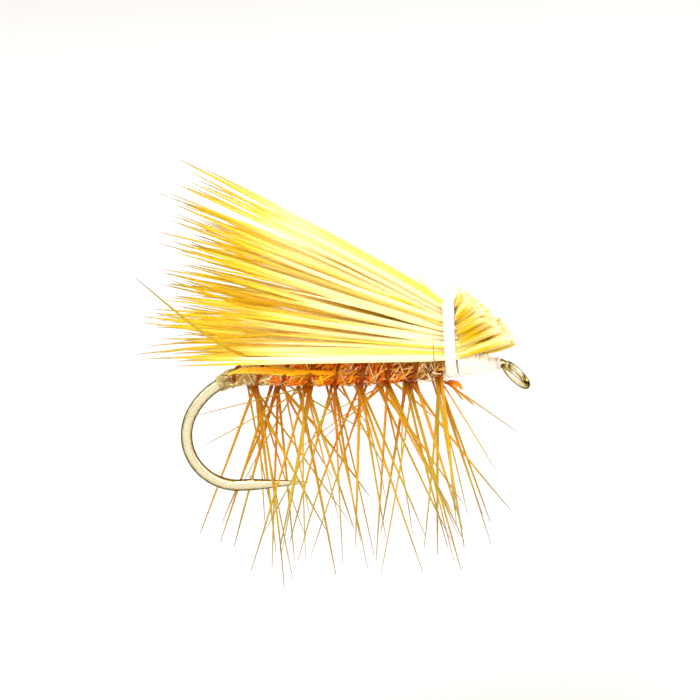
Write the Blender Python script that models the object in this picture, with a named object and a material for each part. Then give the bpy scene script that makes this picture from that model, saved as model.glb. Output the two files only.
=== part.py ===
"""A dry fly of the elk-hair caddis kind, tied on a down-eye hook.

The fly is modelled as it is tied.  A hook of forged wire carries a thread underwrap, a dubbed body, a
hackle feather wound over the body, a rib wire wound the other way to lock the feather, and a wing of
elk hair held down by a band of thread.  The hair runs on through the band and ends in cut butts over
the hook's eye.

Frame: the origin is the middle of the hook's eye, +X is the way the fly faces, +Z is up, and the
hook's bend lies in the XZ plane.  Lengths are in metres.
"""

import math
import random

import bmesh
import bpy
from mathutils import Matrix, Vector
from mathutils.geometry import convex_hull_2d

MM = 0.001
GAP = 0.015 * MM  # between pieces that touch on the real fly

# The hook
SHANK_WIRE = 0.46 * MM
EYE_WIRE = 0.30 * MM
EYE_RADIUS = 0.63 * MM  # to the middle of the wire
EYE_DROP = math.radians(46)
NECK_BEND = 0.22 * MM
SHANK_LENGTH = 11.33 * MM
UPPER_BEND = (3.45 * MM, math.radians(60))  # radius and turn of the easy part of the bend
LOWER_BEND = (2.31 * MM, math.radians(120.2))
POINT_LEG = 3.3 * MM
POINT_TAPER = 2.7 * MM
FORGED_WIDTH, FORGED_THICKNESS = 0.54 * MM, 0.38 * MM
SPUR_FOOT = (2.76 * MM, 2.84 * MM)  # the barb cut from the wire's inner side, measured back from the point
SPUR_RISE, SPUR_REACH = 0.24 * MM, 0.15 * MM

SHANK_X = -EYE_RADIUS * math.cos(EYE_DROP) - NECK_BEND * math.sin(EYE_DROP)
SHANK_Z = EYE_RADIUS * math.sin(EYE_DROP) + NECK_BEND * (1 - math.cos(EYE_DROP))

# Distances along the wire, measured backwards from the front of the straight shank
UNDERWRAP = (0.20 * MM, 12.50 * MM)
UNDERWRAP_RADIUS = 0.30 * MM
BODY = (2.62 * MM, 12.60 * MM)
HEAD = (0.22 * MM, 1.85 * MM)
BAND = (1.95 * MM, 2.52 * MM)
WAIST = (1.89 * MM, 2.58 * MM)  # where the hair is crushed under the band
HACKLE = (2.74 * MM, 12.30 * MM)
REAR_WRAPS = (12.63 * MM, 13.10 * MM)

HACKLE_TURNS = 8
HACKLE_START = math.radians(288)  # round from the wire's lower side
QUILL_STEPS = 24  # steps in a turn of the quill
QUILL_RADIUS = (0.065 * MM, 0.040 * MM)  # at the front and at the tip
BARB_LENGTH = 8.6 * MM
BARB_WIDTH = 0.11 * MM
BARB_SPREAD = math.radians(55)  # either side of straight down

RIB_RADIUS = 0.035 * MM
RIB_TURNS = 7

# The elk hair: rows of locks above the shank's axis, as middle height, half width and number of locks
ROW_HEIGHT = 0.50 * MM
LOCK_ROWS = (
    (0.74 * MM, 1.14 * MM, 3),
    (1.25 * MM, 1.12 * MM, 3),
    (1.76 * MM, 1.00 * MM, 3),
    (2.27 * MM, 0.78 * MM, 2),
    (2.78 * MM, 0.46 * MM, 1),
)
HAIRS_ACROSS, HAIRS_UP = 3, 2
HAIR_LENGTH = 13.4 * MM
CUT_WAY = Vector((0.729, 0, 0.685))  # the butts are trimmed to a plane square to this,
CUT_AT = 1.15 * MM  # this far from the origin

SIDE = Vector((0, 1, 0))


def clear_scene():
    for item in list(bpy.data.objects):
        bpy.data.objects.remove(item)


def mix(a, b, t):
    return a + (b - a) * t


def material(name, colour, roughness, metallic=0.0):
    made = bpy.data.materials.new(name)
    made.use_nodes = True
    shader = made.node_tree.nodes["Principled BSDF"]
    shader.inputs["Base Color"].default_value = (*colour, 1)
    shader.inputs["Roughness"].default_value = roughness
    shader.inputs["Metallic"].default_value = metallic
    return made


def finish(name, bm, finish_material, sharp_angle=40):
    """Turns a bmesh into a named, smooth-shaded object."""
    bmesh.ops.recalc_face_normals(bm, faces=bm.faces)
    mesh = bpy.data.meshes.new(name)
    bm.to_mesh(mesh)
    bm.free()
    mesh.shade_smooth()
    mesh.set_sharp_from_angle(angle=math.radians(sharp_angle))
    mesh.materials.append(finish_material)
    made = bpy.data.objects.new(name, mesh)
    bpy.context.scene.collection.objects.link(made)
    return made


def wire_at(distance):
    """The wire's centre, its heading and its upper side, at a distance behind the front of the shank."""
    heading = math.pi
    point = Vector((SHANK_X - min(distance, SHANK_LENGTH), 0, SHANK_Z))
    left = distance - SHANK_LENGTH
    for radius, turn in (UPPER_BEND, LOWER_BEND):
        if left > 0:
            angle = min(left / radius, turn)
            step_x = math.sin(heading + angle) - math.sin(heading)
            step_z = math.cos(heading) - math.cos(heading + angle)
            point += radius * Vector((step_x, 0, step_z))
            heading += angle
            left -= radius * turn
    direction = Vector((math.cos(heading), 0, math.sin(heading)))
    if left > 0:
        point += left * direction
    return point, direction, SIDE.cross(direction)


def radial(distance, angle):
    """The direction out from the wire, where angle 0 is its lower side and grows towards +Y."""
    up = wire_at(distance)[2]
    return SIDE * math.sin(angle) - up * math.cos(angle)


def ring_points(centre, side, up, half_side, half_up, count):
    """Points on an ellipse, starting at its corner so that four points make a square."""
    points = []
    for i in range(count):
        angle = 2 * math.pi * (i + 0.5) / count
        points.append(centre + side * (half_side * math.cos(angle)) + up * (half_up * math.sin(angle)))
    return points


def loft(bm, rings, closed=False):
    """Joins rings of points into a tube, capped unless the rings close on themselves. Returns its sides."""
    loops = [[bm.verts.new(p) for p in ring] for ring in rings]
    pairs = list(zip(loops, loops[1:]))
    if closed:
        pairs.append((loops[-1], loops[0]))
    else:
        bm.faces.new(loops[0])
        bm.faces.new(reversed(loops[-1]))
    sides = []
    for a, b in pairs:
        count = len(a)
        sides.append([bm.faces.new((a[i], b[i], b[(i + 1) % count], a[(i + 1) % count]))
                      for i in range(count)])
    return sides


def grow(bm, face, centres, widths, squash=None):
    """Draws a face out along centres into a tapering fibre. squash is a direction and a share that the
    first step narrows it by, so that a long face makes a square fibre."""
    here, width = face.calc_center_median(), widths[0]
    heading = face.normal.copy()
    for step, (centre, wanted) in enumerate(zip(centres, widths[1:])):
        turned = heading.rotation_difference((centre - here).normalized())
        face = bmesh.ops.extrude_discrete_faces(bm, faces=[face])["faces"][0]
        for vert in face.verts:
            offset = vert.co - here
            if squash and step == 0:
                along, share = squash
                offset -= along * (offset.dot(along) * (1 - share))
            vert.co = centre + turned @ offset * (wanted / width)
        heading = (centre - here).normalized()
        here, width = centre, wanted


def bezier(start, middle, end, steps):
    """Points along a quadratic curve, without its start."""
    points = []
    for i in range(1, steps + 1):
        t = i / steps
        points.append(start * (1 - t) ** 2 + middle * (2 * t * (1 - t)) + end * t ** 2)
    return points


def sleeve(name, span, inner, outer, steps, sides, finish_material, drop=0.0):
    """A tube round the wire. outer gives its radius from a share of its length and an angle."""
    bm = bmesh.new()
    outside, inside = [], []
    for i in range(steps + 1):
        share = i / steps
        distance = mix(*span, share)
        centre, _, up = wire_at(distance)
        low = centre - up * drop * math.sin(math.pi * min(1, 2 * share)) if drop else centre
        ring = []
        for k in range(sides):
            angle = 2 * math.pi * k / sides
            ring.append(low + radial(distance, angle) * outer(share, angle))
        outside.append(ring)
        inside.append([centre + radial(distance, 2 * math.pi * k / sides) * inner for k in range(sides)])
    loft(bm, outside + inside[::-1], closed=True)
    return finish(name, bm, finish_material)


# ---------------------------------------------------------------- the hook

def wire_section(distance):
    """Half the wire's thickness across the hook's plane and in it. The bend is forged flat."""
    round_half = SHANK_WIRE / 2
    bend_end = SHANK_LENGTH + UPPER_BEND[0] * UPPER_BEND[1] + LOWER_BEND[0] * LOWER_BEND[1]
    forged = min(1, max(0, (distance - SHANK_LENGTH) / (2 * MM)))
    across = mix(round_half, FORGED_THICKNESS / 2, forged)
    in_plane = mix(round_half, FORGED_WIDTH / 2, forged)
    to_point = bend_end + POINT_LEG - distance
    taper = min(1, max(0.03, to_point / POINT_TAPER)) ** 0.8
    return across * taper, in_plane * taper


def make_hook(steel):
    length = SHANK_LENGTH + UPPER_BEND[0] * UPPER_BEND[1] + LOWER_BEND[0] * LOWER_BEND[1] + POINT_LEG
    stations = [0, 0.25 * SHANK_LENGTH, 0.5 * SHANK_LENGTH, 0.75 * SHANK_LENGTH]
    bend_steps = 44
    stations += [mix(SHANK_LENGTH, length, i / bend_steps) for i in range(bend_steps + 1)]
    spur, behind_spur = (length - foot for foot in SPUR_FOOT)
    stations += [spur, behind_spur]
    rings = []
    for distance in sorted(stations, reverse=True):
        centre, direction, up = wire_at(distance)
        across, in_plane = wire_section(distance)
        ring = ring_points(centre, SIDE, up, across, in_plane, 10)
        if distance == spur:
            ring[7] -= up * SPUR_RISE + direction * SPUR_REACH
        rings.append(ring)
    neck_steps = 6
    for i in range(1, neck_steps + 1):
        angle = EYE_DROP * i / neck_steps
        drop = NECK_BEND * (1 - math.cos(angle))
        centre = Vector((SHANK_X + NECK_BEND * math.sin(angle), 0, SHANK_Z - drop))
        up = Vector((math.sin(angle), 0, math.cos(angle)))
        half = mix(SHANK_WIRE, EYE_WIRE, i / neck_steps) / 2 * 0.96
        rings.append(ring_points(centre, SIDE, up, half, half, 10))
    bm = bmesh.new()
    loft(bm, rings)
    hook = finish("hook", bm, steel)

    ring = bmesh.new()
    forward = Vector((math.cos(EYE_DROP), 0, -math.sin(EYE_DROP)))
    upward = Vector((math.sin(EYE_DROP), 0, math.cos(EYE_DROP)))
    eye_rings = []
    for i in range(24):
        angle = 2 * math.pi * i / 24
        out = forward * math.cos(angle) + SIDE * math.sin(angle)
        eye_rings.append(ring_points(out * EYE_RADIUS, out, upward, EYE_WIRE / 2, EYE_WIRE / 2, 10))
    loft(ring, eye_rings, closed=True)
    eye = finish("eye_ring_tool", ring, steel)
    join(hook, eye)
    return hook


def join(target, other):
    """Unites other into target and hides other."""
    union = target.modifiers.new("union", "BOOLEAN")
    union.operation = "UNION"
    union.object = other
    other.hide_render = True
    other.display_type = "WIRE"


# ---------------------------------------------------------------- thread, body and rib

def body_radius(distance):
    """The dubbed body's radius: slim at both ends and fullest a third of the way back."""
    share = (distance - BODY[0]) / (BODY[1] - BODY[0])
    share = min(1, max(0, share))
    return mix(0.42, 0.38, share) * MM + 0.30 * MM * math.sin(math.pi * share ** 0.75)


def make_underwrap(thread):
    turns = 20

    def radius(share, angle):
        return UNDERWRAP_RADIUS - 0.02 * MM * (round(share * 2 * turns) % 2)

    sleeve("thread_underwrap", UNDERWRAP, SHANK_WIRE / 2 + GAP + 0.03 * MM, radius, 2 * turns, 8, thread)


def make_body(fur):
    lumps = HACKLE_TURNS

    def radius(share, angle):
        distance = mix(*BODY, share)
        ridge = math.cos(2 * math.pi * lumps * share - angle)
        return body_radius(distance) - 0.02 * MM * (1 - ridge)

    sleeve("dubbed_body", BODY, UNDERWRAP_RADIUS + GAP, radius, 30, 10, fur)


def make_rear_wraps(thread):
    def radius(share, angle):
        return mix(0.32, 0.29, share) * MM - 0.02 * MM * (round(share * 6) % 2)

    sleeve("rear_thread_wraps", REAR_WRAPS, 0.27 * MM + GAP / 2, radius, 6, 10, thread)


def make_head_wraps(thread):
    turns = 8

    def radius(share, angle):
        profile = mix(0.35, 0.44, share) + 0.09 * math.sin(math.pi * share)
        return profile * MM - 0.03 * MM * (round(share * 2 * turns) % 2)

    sleeve("head_thread_wraps", HEAD, UNDERWRAP_RADIUS + GAP, radius, 2 * turns, 12, thread)


def make_head_cement(varnish):
    def radius(share, angle):
        return mix(0.285, 0.315, share) * MM

    sleeve("head_cement", (0.03 * MM, 0.18 * MM), SHANK_WIRE / 2 + GAP, radius, 2, 12, varnish)


def helix(start, end, turns, handed, steps, height):
    """Points wound round the wire from start to end, at height(distance) from its centre."""
    points = []
    for i in range(steps + 1):
        share = i / steps
        distance = mix(start, end, share)
        angle = handed * 2 * math.pi * turns * share
        points.append(wire_at(distance)[0] + radial(distance, angle) * height(distance))
    return points


def tube(bm, points, radii, sides):
    """A tube along points."""
    rings = []
    for i, point in enumerate(points):
        along = (points[min(i + 1, len(points) - 1)] - points[max(i - 1, 0)]).normalized()
        side = along.cross(Vector((1, 0, 0)))
        side = (side if side.length > 0.1 else SIDE).normalized()
        rings.append(ring_points(point, side, along.cross(side), radii[i], radii[i], sides))
    return loft(bm, rings)


def make_rib(brass):
    steps = RIB_TURNS * 13
    lift = 2 * QUILL_RADIUS[0] + RIB_RADIUS + 2 * GAP
    points = helix(2.72 * MM, 12.5 * MM, RIB_TURNS, -1, steps, lambda d: body_radius(d) + lift)
    bm = bmesh.new()
    tube(bm, points, [RIB_RADIUS] * len(points), 5)
    finish("rib_wire", bm, brass)


# ---------------------------------------------------------------- the hackle

def quill_radius(distance):
    return mix(*QUILL_RADIUS, (distance - HACKLE[0]) / (HACKLE[1] - HACKLE[0]))


def wrapped(angle):
    """The angle from straight down, between -pi and pi."""
    return (angle + math.pi) % (2 * math.pi) - math.pi


def make_hackle_turn(number, feather):
    """One turn of the feather: its stretch of quill with the barbs that grow down from it."""
    chance = random.Random(100 + number)
    pitch = (HACKLE[1] - HACKLE[0]) / HACKLE_TURNS
    start = HACKLE[0] + pitch * number
    rings, distances = [], []
    for i in range(QUILL_STEPS + 1):
        share = min(max(i / QUILL_STEPS, 0.004), 0.996)
        distance = start + pitch * share
        angle = HACKLE_START + 2 * math.pi * share
        out = radial(distance, angle)
        half = quill_radius(distance)
        centre = wire_at(distance)[0] + out * (body_radius(distance) + half + GAP)
        along = wire_at(distance)[1]
        rings.append([centre + along * half, centre + out * half, centre - along * half, centre - out * half])
        distances.append(distance)
    bm = bmesh.new()
    sides = loft(bm, rings)
    bmesh.ops.recalc_face_normals(bm, faces=bm.faces)
    front_share = 1 - number / (HACKLE_TURNS - 1)
    mean_lean = math.radians(mix(-2, 7, front_share))
    for i in range(QUILL_STEPS):
        angle = wrapped(HACKLE_START + 2 * math.pi * (i + 0.5) / QUILL_STEPS)
        if abs(angle) > BARB_SPREAD:
            continue
        distance = (distances[i] + distances[i + 1]) / 2
        direction, out = -wire_at(distance)[1], radial(distance, angle)
        quill_way = (rings[i + 1][1] - rings[i][1]).normalized()
        for face, way in ((sides[i][0], -1), (sides[i][1], 1)):
            lean = mean_lean + way * math.radians(chance.uniform(2, 21))
            length = BARB_LENGTH * chance.uniform(0.84, 1.03)
            heading = out * math.cos(lean) + direction * math.sin(lean)
            root = face.calc_center_median()
            bend = chance.uniform(-0.05, 0.05) * length
            inner = bmesh.ops.inset_individual(bm, faces=[face], thickness=0.012 * MM)
            face = inner["faces"][0] if inner["faces"] and face not in bm.faces else face
            middle = root + heading * length * 0.5 + direction * bend
            points = [root + (face.normal * 0.4 + heading * 0.6).normalized() * 0.10 * MM]
            points += bezier(points[0], middle, root + heading * length, 3)
            widths = [BARB_WIDTH, BARB_WIDTH, BARB_WIDTH * 0.80, BARB_WIDTH * 0.55, BARB_WIDTH * 0.22]
            grow(bm, face, points, widths, (quill_way, 0.5))
    finish(f"hackle_turn_{number + 1}", bm, feather, 60)


def make_hackle_stem_butt(feather):
    """The cut end of the feather's stem, left under the thread at the front of the body."""
    start = wire_at(2.56 * MM)[0] + Vector((0.10, -0.10, -0.70)) * MM
    middle = start + Vector((0.32, -0.05, -0.10)) * MM
    points = bezier(start, middle, start + Vector((0.62, -0.10, -0.42)) * MM, 4)
    bm = bmesh.new()
    tube(bm, [start, *points], [0.08 * MM] * 5, 6)
    finish("hackle_stem_butt", bm, feather)


# ---------------------------------------------------------------- the elk hair

def locks():
    """Each lock's rectangle in the band, as its lowest and highest y and z."""
    found = []
    for middle, half_width, count in LOCK_ROWS:
        low = SHANK_Z + middle - ROW_HEIGHT / 2 + GAP
        high = SHANK_Z + middle + ROW_HEIGHT / 2 - GAP
        width = 2 * half_width / count
        for i in range(count):
            found.append((-half_width + width * i + GAP, -half_width + width * (i + 1) - GAP, low, high))
    return found


def hair_line(y, z, chance):
    """The curve of one wing hair from the band to its tip."""
    base = SHANK_Z + LOCK_ROWS[0][0] - ROW_HEIGHT / 2
    top = SHANK_Z + LOCK_ROWS[-1][0] + ROW_HEIGHT / 2
    height = (z - base) / (top - base)
    across = y / LOCK_ROWS[0][1]
    rise = mix(7, 33, height) - 5 * abs(across) ** 1.3 * (1 - height) ** 2
    splay = across * mix(12, 9, height)
    rise = math.radians(rise + chance.uniform(-0.5, 0.5))
    splay = math.radians(splay + chance.uniform(-0.5, 0.5))
    way = Vector((-math.cos(rise) * math.cos(splay), math.sin(splay), math.sin(rise) * math.cos(splay)))
    start = Vector((SHANK_X - WAIST[1], y, z))
    length = HAIR_LENGTH * chance.uniform(0.90, 1.03)
    bow = Vector((0, 0, chance.uniform(0.0, 0.25) * MM))
    first = start + way * 0.35 * MM
    return [first] + bezier(first, start + way * length * 0.5 + bow, start + way * length, 4)


def butt_line(y, z, chance):
    """The curve of one cut butt, from the front of the band to the trimmed slope over the eye. The low
    ones lie along the thread head before they rise."""
    base, top = SHANK_Z + LOCK_ROWS[0][0], SHANK_Z + LOCK_ROWS[-1][0]
    height = min(1, max(0, (z - base) / (top - base)))
    splay = math.radians(y / LOCK_ROWS[0][1] * 22)

    def heading(rise):
        return Vector((math.cos(rise) * math.cos(splay), math.sin(splay), math.sin(rise)))

    start = Vector((SHANK_X - WAIST[0], y, z))
    along = mix(1.4, 0.1, min(1, height / 0.45)) * MM
    knee = start + heading(math.radians(mix(5, 38, height))) * along
    way = heading(math.radians(mix(24, 40, height) + 30 * height ** 4 + chance.uniform(-1, 1)))
    reach = (CUT_AT - knee.dot(CUT_WAY)) / way.dot(CUT_WAY)
    return [knee, knee + way * max(0.35 * MM, reach) * chance.uniform(0.92, 1.02)]


def make_lock(number, rectangle, hair):
    """A lock of elk hair: side by side hairs, crushed into one block under the thread, that part in
    front of it into cut butts and behind it into the wing."""
    y_low, y_high, z_low, z_high = rectangle
    chance = random.Random(500 + number)
    front, back = SHANK_X - WAIST[0], SHANK_X - WAIST[1]
    bm = bmesh.new()

    def sheet(x):
        return [[bm.verts.new((x, mix(y_low, y_high, i / HAIRS_ACROSS), mix(z_low, z_high, j / HAIRS_UP)))
                 for i in range(HAIRS_ACROSS + 1)] for j in range(HAIRS_UP + 1)]

    def edge_of(grid):
        upper = [line[-1] for line in grid[1:-1]]
        lower = [line[0] for line in grid[-2:0:-1]]
        return grid[0] + upper + grid[-1][::-1] + lower

    sheets = (sheet(front), sheet(back))
    cells = []
    for grid in sheets:
        for j in range(HAIRS_UP):
            for i in range(HAIRS_ACROSS):
                cells.append(bm.faces.new((grid[j][i], grid[j][i + 1], grid[j + 1][i + 1], grid[j + 1][i])))
    rim_a, rim_b = edge_of(sheets[0]), edge_of(sheets[1])
    for i in range(len(rim_a)):
        k = (i + 1) % len(rim_a)
        bm.faces.new((rim_a[i], rim_a[k], rim_b[k], rim_b[i]))
    bmesh.ops.recalc_face_normals(bm, faces=bm.faces)
    size = min((y_high - y_low) / HAIRS_ACROSS, (z_high - z_low) / HAIRS_UP)
    bmesh.ops.inset_individual(bm, faces=cells, thickness=0.018 * MM)
    for face in cells:
        centre = face.calc_center_median()
        if centre.x < (front + back) / 2:
            widths = [size, size, size * 1.08, size * 0.96, size * 0.66, size * 0.16]
            grow(bm, face, hair_line(centre.y, centre.z, chance), widths)
        else:
            grow(bm, face, butt_line(centre.y, centre.z, chance), [size, size * 1.04, size * 1.12])
    finish(f"wing_lock_{number + 1:02d}", bm, hair, 60)


def make_band(thread):
    """The thread that holds the wing down: one loop of wraps round all the hair and the shank."""
    corners = []
    for y_low, y_high, z_low, z_high in locks():
        corners += [(y, z) for y in (y_low, y_high) for z in (z_low, z_high)]
    for k in range(16):
        angle = 2 * math.pi * k / 16
        corners.append((0.42 * MM * math.sin(angle), SHANK_Z - 0.06 * MM + 0.42 * MM * math.cos(angle)))
    hull = [Vector(corners[i]) for i in convex_hull_2d(corners)]
    middle = Vector((0, SHANK_Z + 1.3 * MM))

    def reach(angle, offset):
        """How far the hull lies from its middle at an angle, plus an offset square to its nearest side."""
        way = Vector((math.sin(angle), math.cos(angle)))
        best = None
        for a, b in zip(hull, hull[1:] + hull[:1]):
            normal = Vector((b.y - a.y, a.x - b.x)).normalized()
            if normal.dot(a - middle) < 0:
                normal = -normal
            if way.dot(normal) > 1e-6:
                far = (normal.dot(a - middle) + offset) / way.dot(normal)
                best = far if best is None else min(best, far)
        return best

    count, turns = 30, 5

    def outline(x, offset):
        points = []
        for k in range(count):
            angle = 2 * math.pi * k / count
            at = middle + Vector((math.sin(angle), math.cos(angle))) * reach(angle, offset)
            points.append(Vector((x, at.x, at.y)))
        return points

    outside = []
    for i in range(2 * turns + 1):
        x = SHANK_X - mix(*BAND, i / (2 * turns))
        outside.append(outline(x, (0.08 if i % 2 == 0 else 0.12) * MM))
    inside = [outline(SHANK_X - d, 0.035 * MM) for d in BAND]
    bm = bmesh.new()
    loft(bm, outside + inside[::-1], closed=True)
    finish("wing_thread_band", bm, thread)


def build():
    clear_scene()
    steel = material("hook_steel", (0.60, 0.58, 0.50), 0.22, 1.0)
    thread = material("white_thread", (0.90, 0.88, 0.80), 0.55)
    fur = material("dubbing_fur", (0.36, 0.22, 0.10), 0.9)
    brass = material("rib_brass", (0.78, 0.66, 0.40), 0.3, 1.0)
    feather = material("ginger_hackle", (0.80, 0.42, 0.06), 0.4)
    hair = material("elk_hair", (0.93, 0.80, 0.42), 0.45)
    varnish = material("head_varnish", (0.92, 0.90, 0.82), 0.1)

    make_hook(steel)
    make_underwrap(thread)
    make_body(fur)
    make_rear_wraps(thread)
    make_head_wraps(thread)
    make_head_cement(varnish)
    make_rib(brass)
    for number in range(HACKLE_TURNS):
        make_hackle_turn(number, feather)
    make_hackle_stem_butt(feather)
    for number, rectangle in enumerate(locks()):
        make_lock(number, rectangle, hair)
    make_band(thread)


build()
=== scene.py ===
"""Looks of the dry fly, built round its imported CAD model.

Every fibre of the real fly is a tapering tube here: elk hairs, hackle barbs, dubbing fur and thread.
Colours that change along a fibre are painted on its vertices, and the materials read them.
"""

import math
import random

import bpy
import numpy as np
from mathutils import Matrix, Vector, noise
from mathutils.geometry import convex_hull_2d


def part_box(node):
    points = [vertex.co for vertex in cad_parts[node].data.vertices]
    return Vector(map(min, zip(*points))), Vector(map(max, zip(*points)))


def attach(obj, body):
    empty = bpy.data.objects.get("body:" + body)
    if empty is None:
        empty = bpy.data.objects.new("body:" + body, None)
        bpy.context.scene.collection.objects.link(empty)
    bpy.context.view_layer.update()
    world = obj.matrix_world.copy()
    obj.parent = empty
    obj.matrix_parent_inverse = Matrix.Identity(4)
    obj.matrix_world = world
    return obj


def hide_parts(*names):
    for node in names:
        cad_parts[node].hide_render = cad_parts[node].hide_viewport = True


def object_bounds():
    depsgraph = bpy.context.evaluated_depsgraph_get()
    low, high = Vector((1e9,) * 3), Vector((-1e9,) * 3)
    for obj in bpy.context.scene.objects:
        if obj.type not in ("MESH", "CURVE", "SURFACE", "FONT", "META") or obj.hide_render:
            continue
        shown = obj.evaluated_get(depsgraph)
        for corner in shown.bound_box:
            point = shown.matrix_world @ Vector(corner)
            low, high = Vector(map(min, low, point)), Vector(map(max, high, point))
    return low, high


MM = 0.001

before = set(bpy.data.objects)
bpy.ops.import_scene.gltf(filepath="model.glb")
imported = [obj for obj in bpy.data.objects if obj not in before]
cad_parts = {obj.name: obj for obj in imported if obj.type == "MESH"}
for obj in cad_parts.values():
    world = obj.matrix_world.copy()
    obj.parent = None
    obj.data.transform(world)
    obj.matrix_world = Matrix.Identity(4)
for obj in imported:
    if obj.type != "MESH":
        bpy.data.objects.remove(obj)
CAD_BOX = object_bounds()

# -------- the fly's own frame

SHANK_LENGTH = 11.33 * MM
UPPER_BEND = (3.45 * MM, math.radians(60))  # the radius and the turn of each of the bend's two arcs
LOWER_BEND = (2.31 * MM, math.radians(120.2))
POINT_LEG = 3.3 * MM
EYE_DROP = math.radians(46)
RING = (0.69 * MM, 0.05 * MM)  # the eye's radius to the middle of its wire, and how far it sits forward
NECK_BEND = 0.22 * MM
HACKLE_TURNS = 8
HACKLE = (2.74 * MM, 12.30 * MM)  # distances along the wire behind the front of the shank
HACKLE_START = math.radians(288)
BODY = (2.62 * MM, 12.60 * MM)
BODY_HALF = (0.42 * MM, 0.38 * MM)  # the body's radius at its front and rear ends
BODY_SWELL = 0.30 * MM
REAR_WRAPS = (12.64 * MM, 13.09 * MM)
WIRE_LENGTH = SHANK_LENGTH + math.prod(UPPER_BEND) + math.prod(LOWER_BEND) + POINT_LEG

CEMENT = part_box("head_cement")
SHANK_Z = (CEMENT[0].z + CEMENT[1].z) / 2
SHANK_X = CEMENT[1].x + 0.03 * MM
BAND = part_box("wing_thread_band")


def mix(a, b, t):
    return a + (b - a) * t


def rgb(*channels):
    return np.array(channels)


def add_to_scene(name, data):
    made = bpy.data.objects.new(name, data)
    bpy.context.scene.collection.objects.link(made)
    return made


def smooth(t):
    t = np.clip(t, 0, 1)
    return t * t * (3 - 2 * t)


def wire_at(distance):
    """The wire's centre, heading and upper side, at a distance behind the front of the straight shank."""
    heading = math.pi
    point = np.array((SHANK_X - min(distance, SHANK_LENGTH), 0, SHANK_Z))
    left = distance - SHANK_LENGTH
    for radius, turn in (UPPER_BEND, LOWER_BEND):
        if left > 0:
            angle = min(left / radius, turn)
            step_x = math.sin(heading + angle) - math.sin(heading)
            step_z = math.cos(heading) - math.cos(heading + angle)
            point = point + radius * np.array((step_x, 0, step_z))
            heading += angle
            left -= radius * turn
    direction = np.array((math.cos(heading), 0, math.sin(heading)))
    if left > 0:
        point = point + left * direction
    return point, direction, np.array((direction[2], 0, -direction[0]))


def radial(distance, angle):
    """The direction out from the wire, where angle 0 is its lower side and grows towards +Y."""
    up = wire_at(distance)[2]
    return np.array((0, 1, 0)) * math.sin(angle) - up * math.cos(angle)


def beside_wire(distance, angle, out):
    """The point that lies out from the wire's centre by a length out."""
    return wire_at(distance)[0] + radial(distance, angle) * out


def path_round(ends, angles, height, steps):
    """Points along and round the wire, at a height for each distance and its share of the way."""
    shares = np.linspace(0, 1, steps)
    return [beside_wire(mix(*ends, t), mix(*angles, t), height(mix(*ends, t), t)) for t in shares]


def body_radius(distance):
    """The fur body's outside: fullest a little in front of its middle."""
    share = min(1, max(0, (distance - BODY[0]) / (BODY[1] - BODY[0])))
    return mix(*BODY_HALF, share) + BODY_SWELL * math.sin(math.pi * share ** 0.75)


# -------- meshes made of fibres

class Fibres:
    """Collects tubes and turns them into one mesh with a colour on each vertex."""

    def __init__(self):
        self.points, self.faces, self.colours = [], [], []
        self.count = 0

    def add_rings(self, rings, colours, closed=False):
        """rings is an array of rings x corners x 3, and colours one of rings x 3."""
        rings, colours = np.asarray(rings, float), np.asarray(colours, float)
        steps, corners = rings.shape[:2]
        start = self.count
        self.points.append(rings.reshape(-1, 3))
        self.colours.append(np.repeat(colours, corners, axis=0))
        index = start + np.arange(steps * corners).reshape(steps, corners)
        following = np.roll(index, -1, axis=1)
        upper = np.roll(index, -1, axis=0) if closed else index[1:]
        upper_following = np.roll(following, -1, axis=0) if closed else following[1:]
        lower = index if closed else index[:-1]
        lower_following = following if closed else following[:-1]
        quads = np.stack((lower, lower_following, upper_following, upper), axis=-1)
        self.faces.extend(quads.reshape(-1, 4).tolist())
        if not closed:
            self.faces.append(index[0][::-1].tolist())
            self.faces.append(index[-1].tolist())
        self.count += steps * corners

    def add(self, path, radii, colours, corners=6, flat=1.0, across=(0, 1, 0), closed=False):
        """A tube along path. flat squashes it square to the direction across."""
        path = np.asarray(path, float)
        ahead = np.roll(path, -1, axis=0) - np.roll(path, 1, axis=0)
        if not closed:
            ahead[0], ahead[-1] = path[1] - path[0], path[-1] - path[-2]
        ahead /= np.linalg.norm(ahead, axis=1, keepdims=True)
        side = np.cross(np.cross(ahead, np.asarray(across, float)), ahead)
        side /= np.linalg.norm(side, axis=1, keepdims=True)
        up = np.cross(side, ahead)
        angles = 2 * np.pi * np.arange(corners) / corners
        radii = np.broadcast_to(np.asarray(radii, float), (len(path),))
        rings = path[:, None, :] + radii[:, None, None] * (
            side[:, None, :] * np.cos(angles)[None, :, None]
            + up[:, None, :] * np.sin(angles)[None, :, None] * flat
        )
        colours = np.broadcast_to(np.asarray(colours, float), (len(path), 3))
        self.add_rings(rings, colours, closed)
        return rings

    def build(self, name, material, slot, *nodes):
        mesh = bpy.data.meshes.new(name)
        points = np.concatenate(self.points)
        mesh.from_pydata(points.tolist(), [], self.faces)
        mesh.shade_smooth()
        tint = mesh.color_attributes.new("tint", "FLOAT_COLOR", "POINT")
        colours = np.ones((len(points), 4), np.float32)
        colours[:, :3] = np.concatenate(self.colours)
        tint.data.foreach_set("color", colours.ravel())
        mesh.materials.append(material)
        made = add_to_scene(name, mesh)
        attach(made, "root")
        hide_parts(*nodes)


def gradient(stops, shares):
    """Colours at shares along a list of (share, colour) stops."""
    at = [s for s, _ in stops]
    return np.stack([np.interp(shares, at, [c[k] for _, c in stops]) for k in range(3)], axis=-1)


def evenly(points, count):
    """count points at even steps along the line through points."""
    run = np.concatenate(((0,), np.cumsum(np.linalg.norm(np.diff(points, axis=0), axis=1))))
    at = np.linspace(0, run[-1], count)
    return np.stack([np.interp(at, run, column) for column in points.T], axis=-1)


# -------- materials

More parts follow.
